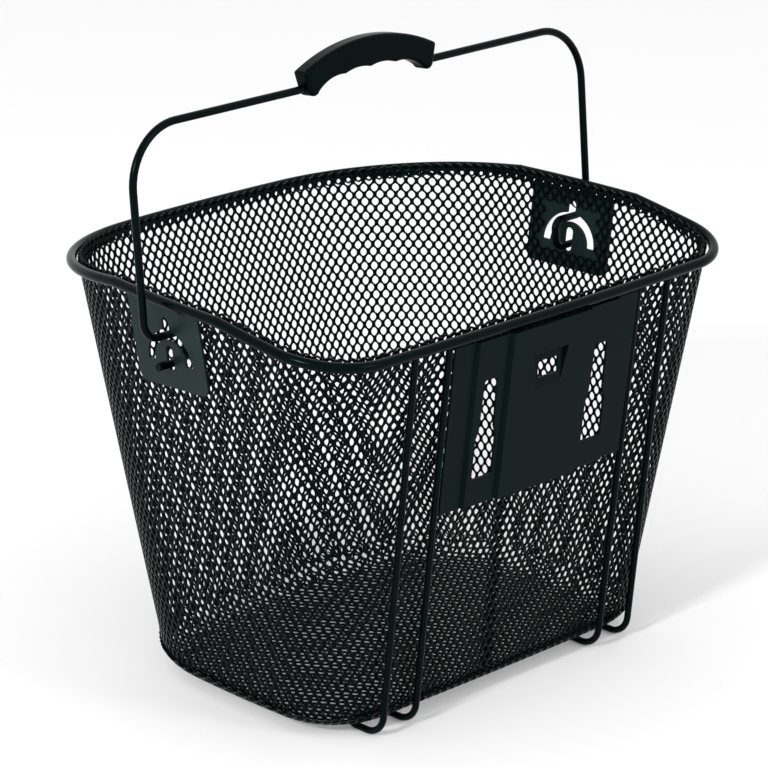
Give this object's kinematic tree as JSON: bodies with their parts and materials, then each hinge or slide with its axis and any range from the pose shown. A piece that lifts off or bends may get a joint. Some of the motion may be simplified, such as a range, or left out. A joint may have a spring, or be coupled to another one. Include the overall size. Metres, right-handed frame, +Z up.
{
  "type": "bicycle handlebar basket",
  "caption": "Oval wire-mesh basket that clips to a handlebar bracket, with a folding wire bail and finger-shaped hand grip for carrying it off the bicycle.",
  "frame": {"origin": "under the middle of the bounding box, at the level of the skid feet", "axes": "+Z up, +Y the direction of travel, so the bracket plate faces -Y; X across the handlebar"},
  "size_m": [0.3674, 0.2888, 0.3644],
  "materials": {
    "mesh": "satin black powder coat",
    "wire": "satin black powder coat",
    "plate": "fine matt black powder coat",
    "grip": "fine-grained black plastic"
  },
  "bodies": {
    "basket": {"mesh_wall": "mesh", "mesh_floor": "mesh", "rim_wire": "wire", "stay_left": "wire", "stay_right": "wire", "adapter_plate": "plate", "bail_plate_left": "plate", "bail_plate_right": "plate"},
    "bail": {"bail_wire": "wire", "grip_front": "grip", "grip_rear": "grip"}
  },
  "joints": [
    {"name": "bail_swing", "type": "hinge", "parent": "basket", "child": "bail", "pos_m": [0, -0.0096, 0.2094], "axis": [1, 0, 0], "range_deg": [-69, 81]}
  ]
}
